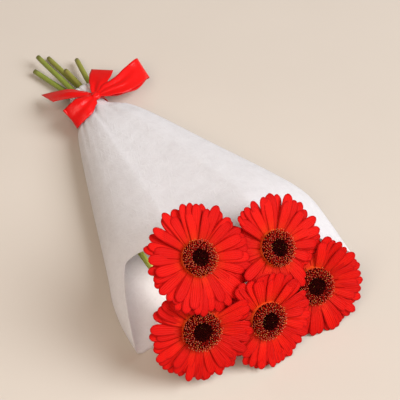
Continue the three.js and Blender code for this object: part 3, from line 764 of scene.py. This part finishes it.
def petal_sheet(petal, bend, length, spare=0.0):
    """Upper and lower points of one petal, row by row, in the bloom's own frame."""
    angle = petal["angle"]
    out = Vector((math.cos(angle), math.sin(angle), 0))
    sideways = Vector((-math.sin(angle), math.cos(angle), 0))
    centre = out * petal["root_radius"] + Vector((0, 0, petal["root"]))
    upper, lower, facts = [], [], []
    before = 0.0
    for share in PETAL_ROWS:
        middle = (share + before) / 2
        bent = bend * min(1, middle / 0.12)
        slope = math.radians(petal["lift"] + bent - petal["fall"] * middle
                             + petal["tip"] * middle**4)
        swing = petal["sway"] * middle
        flat = out * math.cos(swing) + sideways * math.sin(swing)
        along = flat * math.cos(slope) + Vector((0, 0, math.sin(slope)))
        centre = centre + along * petal["length"] * length * (share - before)
        side = Matrix.Rotation(petal["roll"] + petal["twist"] * share, 3, along) @ (
            sideways * math.cos(swing) - out * math.sin(swing))
        up = along.cross(side)
        half = PETAL_HALF_WIDTH * petal["width"] * smooth_through(PETAL_SHAPE, share) + spare
        for j in range(PETAL_COLUMNS):
            u = 2 * j / (PETAL_COLUMNS - 1) - 1
            groove = -0.22 * math.cos(2 * math.pi * u) * min(1, 4 * share) * (1 - 0.5 * share)
            rise = groove + petal["channel"] * u * u * math.sin(math.pi * min(1, share * 1.1))
            point = centre + side * half * u + up * rise
            through = PETAL_THICKNESS / 2 * (1 - 0.6 * u * u) + spare
            upper.append(point + up * through)
            lower.append(point - up * through)
            facts.append((share, j / (PETAL_COLUMNS - 1), petal["tint"], 1))
        before = share
    return upper, lower, facts


LEAF = leaf_faces(len(PETAL_ROWS), PETAL_COLUMNS)


def plate_piece(flower):
    """The receptacle plate that carries the petals."""
    build = Build()
    radius = flower["disc"] - 0.2
    plate = [(0, -PLATE_DEPTH), (radius, -PLATE_DEPTH), (radius + 0.8, -2.4), (radius, 0), (0, 0)]
    turned(build, plate, PLATE_SECTORS, PLATE_FACTS, bloom_matrix(flower))
    return build


def petals_piece(flower, in_front, around):
    """The receptacle plate with its petals, each bent or shortened until it is clear of what is
    around it. A petal that would reach into the blooms in front tries the bends back only, and
    one that nothing frees is left out."""
    rng = random.Random(flower["seed"])
    matrix = bloom_matrix(flower)
    build = plate_piece(flower)

    def hits(petal, bend, length, trees):
        upper, lower, _ = petal_sheet(petal, bend, length, CLEARANCE)
        points = [matrix @ p for p in upper + lower]
        if min(p.z for p in points) < TABLE_GAP:
            return "table" in trees
        trial = BVHTree.FromPolygons(points, LEAF)
        return any(trial.overlap(tree) for key, tree in trees.items() if key != "table")

    for petal in petal_plan(flower, rng):
        bends = BENDS_BACK if in_front and hits(petal, 0, 1, in_front) else BENDS_ANY_WAY
        tries = [(bend, length) for length in LENGTHS for bend in bends]
        free = next((t for t in tries if not hits(petal, *t, around)), None)
        if free is None:
            continue
        upper, lower, facts = petal_sheet(petal, *free)
        build.add([matrix @ p for p in upper + lower], LEAF, facts + facts)
    return build


# What stands in a petal's way: everything but its own eye, stem and plate, and the blooms in front.
obstacles = {"table": None, "wrap": wrap.tree()}
for name, build in stems.items():
    obstacles[f"stem_{name}"] = build.tree()
for name, build in eyes.items():
    obstacles[f"eye_{name}"] = build.tree()
for flower in FLOWERS:
    obstacles[f"plate_{flower['name']}"] = plate_piece(flower).tree()
in_front = {}
for flower in FLOWERS:
    name = flower["name"]
    own = (f"eye_{name}", f"stem_{name}", f"plate_{name}")
    others = {key: tree for key, tree in obstacles.items() if key not in own}
    build = petals_piece(flower, in_front, {**others, **in_front})
    in_front[f"petals_{name}"] = build.tree()
    in_front[f"eye_front_{name}"] = obstacles[f"eye_{name}"]
    build.object(f"petals_red_{name}", [petal_red], "petal", [f"petals_{name}"])

# ---------------------------------------------------------------- ribbon

RIBBON_WIDTH = 25
RIBBON_THICKNESS = 0.35
RIBBON_COLUMNS = 13
RIBBON_STEPS = 7           # rows of the mesh between two stops
BAND_HALF_LENGTH = 4.4     # the band's half width along the neck, drawn together by the knot
BAND_MIDDLE = -1.4         # distance of its middle from the tie, as in CONE
BAND_COLUMNS, BAND_SECTORS = 9, 72
KNOT_MIDDLE = (1, -2, 30.4)
KNOT_RADII = (5.6, 5.0, 4.0)
KNOT_RINGS, KNOT_SECTORS = 15, 28


def strip(build, stops, folds, slant=0.0):
    """A length of ribbon through stops of (place, direction of its width, half its width). folds
    are soft creases as (first share, last share, place across from -1 to 1, depth, width). slant
    is how far the cut end leans, as a share of its half width."""
    path = centripetal([stop[0] for stop in stops], RIBBON_STEPS)
    last = len(path) - 1
    cells = []
    for k, centre in enumerate(path):
        t = k / RIBBON_STEPS
        i = min(int(t), len(stops) - 2)
        f = t - i
        ease = f * f * (3 - 2 * f)
        side = (Vector(stops[i][1]).lerp(Vector(stops[i + 1][1]), ease)).normalized()
        half = stops[i][2] + (stops[i + 1][2] - stops[i][2]) * ease
        along = (path[min(k + 1, last)] - path[max(k - 1, 0)]).normalized()
        up = along.cross(side).normalized()
        side = up.cross(along).normalized()
        share = k / last
        near_end = max(0, 1 - (last - k) / (2 * RIBBON_STEPS))
        for j in range(RIBBON_COLUMNS):
            u = 2 * j / (RIBBON_COLUMNS - 1) - 1
            rise = 0
            for first, end, at, depth, width in folds:
                if first <= share <= end:
                    grow = math.sin(math.pi * (share - first) / (end - first))
                    rise += depth * grow * math.exp(-((u - at) / width)**2)
            place = centre + side * half * u + up * rise
            place = place + along * slant * half * u * near_end
            cells.append((place, up, (share, j / (RIBBON_COLUMNS - 1), 0, 1)))
    upper = [p + n * RIBBON_THICKNESS / 2 for p, n, _ in cells]
    lower = [p - n * RIBBON_THICKNESS / 2 for p, n, _ in cells]
    facts = [v for _, _, v in cells]
    build.add(upper + lower, leaf_faces(len(path), RIBBON_COLUMNS), facts + facts)


def ribbon_piece():
    """The two loops and the two tails, each drawn together where it comes out of the knot."""
    build = Build()
    full = RIBBON_WIDTH / 2
    # The right loop.
    strip(build, [
        ((3, -2, 31), (0, 1, 0.05), 3.5), ((16, -3, 33.5), (-0.1, 1, 0.1), 9),
        ((33, -3.5, 33.5), (-0.16, 0.98, 0.15), 12), ((52, 5, 30), (-0.18, 0.92, 0.34), full),
        ((66, 12, 26.5), (-0.12, 0.83, 0.55), full), ((69, 14.2, 23.2), (-0.12, 0.83, 0.55), full),
        ((65, 16.3, 20), (-0.12, 0.83, 0.55), full), ((49, 8, 20), (-0.18, 0.92, 0.34), full),
        ((28, 1, 24), (-0.16, 0.98, 0.15), 9), ((4, -1, 29), (0, 1, 0.05), 3.5),
    ], [(0.0, 0.35, 0.35, -1.6, 0.22), (0.0, 0.28, -0.3, -1.2, 0.2),
        (0.0, 0.45, 0.0, 1.0, 0.3)])
    # The left loop.
    strip(build, [
        ((-1, -2, 31), (0, 1, 0.05), 3.5), ((-9, -8, 34.5), (-0.1, 1, 0.15), 8.5),
        ((-20, -13, 35), (-0.14, 0.95, 0.25), full), ((-31, -14, 30), (-0.14, 0.95, 0.3), full),
        ((-35.5, -13, 25), (-0.14, 0.95, 0.3), full), ((-31, -8, 21), (-0.1, 0.97, 0.25), 10.5),
        ((-18, -1, 24), (0, 1, 0.1), 7), ((-3, -1, 29), (0, 1, 0.05), 3.5),
    ], [(0.0, 0.4, -0.35, -1.2, 0.25), (0.0, 0.4, 0.4, -1.4, 0.25),
        (0.1, 0.6, 0.0, 1.2, 0.35)])
    # The left tail.
    strip(build, [
        ((-1, 0, 30), (0.3, 0.95, 0), 3), ((-10.5, 8.3, 30.5), (0.5, 0.84, -0.2), 6),
        ((-22.8, 19.1, 28), (0.45, 0.86, -0.24), 9.5),
        ((-32.6, 27.3, 23), (0.4, 0.88, -0.32), 10.5),
        ((-40.0, 33.8, 18), (0.4, 0.88, -0.32), 11),
    ], [(0.0, 0.6, 0.2, -1.4, 0.3), (0.1, 0.9, -0.4, 0.8, 0.4)], slant=1.1)
    # The right tail.
    strip(build, [
        ((1, 0, 30), (-0.9, 0.4, 0), 3.5), ((6.8, 6.6, 32), (-0.8, 0.5, 0), 7),
        ((13.7, 14.9, 32.5), (-0.8, 0.5, -0.1), 10.5), ((20.4, 22.4, 32), (-0.8, 0.5, -0.1), full),
        ((26.6, 29.6, 30), (-0.8, 0.5, -0.1), full),
    ], [(0.0, 0.5, 0.3, -1.2, 0.25), (0.0, 0.7, -0.3, 1.0, 0.35)], slant=0.1)
    return build


def band_and_knot(build):
    """The ribbon drawn together round the neck, with creases along it, and the small knot."""
    columns, around = BAND_COLUMNS, BAND_SECTORS
    outer, inner, facts = [], [], []
    for j in range(around):
        angle = 2 * math.pi * j / around
        for i in range(columns):
            v = 2 * i / (columns - 1) - 1
            distance = v * BAND_HALF_LENGTH + BAND_MIDDLE
            half, top, low = (
                smooth_through([(row[0], row[k]) for row in CONE], distance) for k in (2, 3, 4))
            crease = 0.35 * math.cos(5 * v + 1.3 * math.sin(2 * angle)) + 0.35
            for away, grid in ((1.0 + crease, outer), (0.6 + crease, inner)):
                grid.append(Vector((
                    (half + away) * math.cos(angle), -distance,
                    (top + low) / 2 + ((top - low) / 2 + away) * math.sin(angle))))
            facts.append((j / around, i / (columns - 1), 0, 1))
    size = around * columns
    faces = []
    for j in range(around):
        here, ahead = j * columns, (j + 1) % around * columns
        for i in range(columns - 1):
            a, b, c, d = here + i, here + i + 1, ahead + i + 1, ahead + i
            faces += [[a, b, c, d], [size + d, size + c, size + b, size + a]]
        for i, turn in ((0, 1), (columns - 1, -1)):
            faces.append([here + i, ahead + i, size + ahead + i, size + here + i][::turn])
    build.add(outer + inner, faces, facts + facts)
    points, facts = [], []
    for i in range(KNOT_RINGS + 1):
        polar = math.pi * i / KNOT_RINGS
        for j in range(KNOT_SECTORS):
            angle = 2 * math.pi * j / KNOT_SECTORS
            wrinkle = (1 + 0.07 * math.sin(4 * angle + 3 * math.cos(polar))
                       + 0.05 * math.sin(9 * polar))
            points.append(Vector((
                KNOT_MIDDLE[0] + KNOT_RADII[0] * math.sin(polar) * math.cos(angle) * wrinkle,
                KNOT_MIDDLE[1] + KNOT_RADII[1] * math.cos(polar),
                KNOT_MIDDLE[2] + KNOT_RADII[2] * math.sin(polar) * math.sin(angle) * wrinkle)))
            facts.append((j / KNOT_SECTORS, i / KNOT_RINGS, 0, 1))
    build.add(points, grid_faces(KNOT_RINGS + 1, KNOT_SECTORS), facts)


ribbon = ribbon_piece()
band_and_knot(ribbon)
ribbon_object = ribbon.object("ribbon_bow", [ribbon_satin], "ribbon", ["ribbon"])

# ---------------------------------------------------------------- table, light and camera

TABLE_HALF = 6.0           # metres
BUNCH = (0, -0.05, 0)      # what the lights point at, in the frame
SENSOR = 36                # width of the camera's sensor, which only sets the scale of its lens
FOCAL_PIXELS, PHOTO_PIXELS = 1270, 400
AZIMUTH, ELEVATION = math.radians(-32), math.radians(50)
LOOKED_AT = (32.1, -161.9, 0)   # millimetres about the tie
CAMERA_AWAY = 1.3          # metres

table = bpy.data.meshes.new("table_top")
corners = [(x * TABLE_HALF, y * TABLE_HALF, 0) for x, y in ((-1, -1), (1, -1), (1, 1), (-1, 1))]
table.from_pydata(corners, [], [[0, 1, 2, 3]])
table.materials.append(floor_material())
table_object = bpy.data.objects.new("table_top", table)
bpy.context.scene.collection.objects.link(table_object)

world = bpy.data.worlds.new("soft_room")
bpy.context.scene.world = world
world.use_nodes = True
background = world.node_tree.nodes["Background"]
background.inputs["Color"].default_value = (1.0, 0.86, 0.74, 1)
background.inputs["Strength"].default_value = 0.245


def area_light(name, place, target, size, watts, color):
    """A square lamp at a place, turned to its target. Places and size are in metres."""
    data = bpy.data.lights.new(name, "AREA")
    data.size = size
    data.energy = watts
    data.color = color
    lamp = bpy.data.objects.new(name, data)
    lamp.location = place
    lamp.rotation_euler = (Vector(target) - Vector(place)).to_track_quat("-Z", "Y").to_euler()
    bpy.context.scene.collection.objects.link(lamp)


area_light("window", (2.70, -2.66, 3.52), BUNCH, 3.5, 312, (0.96, 1.0, 1.045))
area_light("fill", (-1.05, -0.85, 1.80), BUNCH, 1.4, 21, (1.0, 0.88, 0.76))
# A faint lamp in the cone's open mouth, for the light that comes through the paper.
area_light("inside", placed((-36, -233, 43)), placed((-112, -282, 8)), 0.03, 0.038,
           (1.0, 0.97, 0.94))

camera = bpy.data.cameras.new("camera")
camera.sensor_width = SENSOR
camera.lens = SENSOR * FOCAL_PIXELS / PHOTO_PIXELS
camera.clip_start = 0.05
back = Vector((math.sin(AZIMUTH) * math.cos(ELEVATION), -math.cos(AZIMUTH) * math.cos(ELEVATION),
               math.sin(ELEVATION)))
camera_object = bpy.data.objects.new("camera", camera)
camera_object.location = placed(LOOKED_AT) + back * CAMERA_AWAY
camera_object.rotation_mode = "QUATERNION"
camera_object.rotation_quaternion = (-back).to_track_quat("-Z", "Y")
bpy.context.scene.collection.objects.link(camera_object)
bpy.context.scene.camera = camera_object
bpy.context.scene.view_settings.view_transform = "Standard"
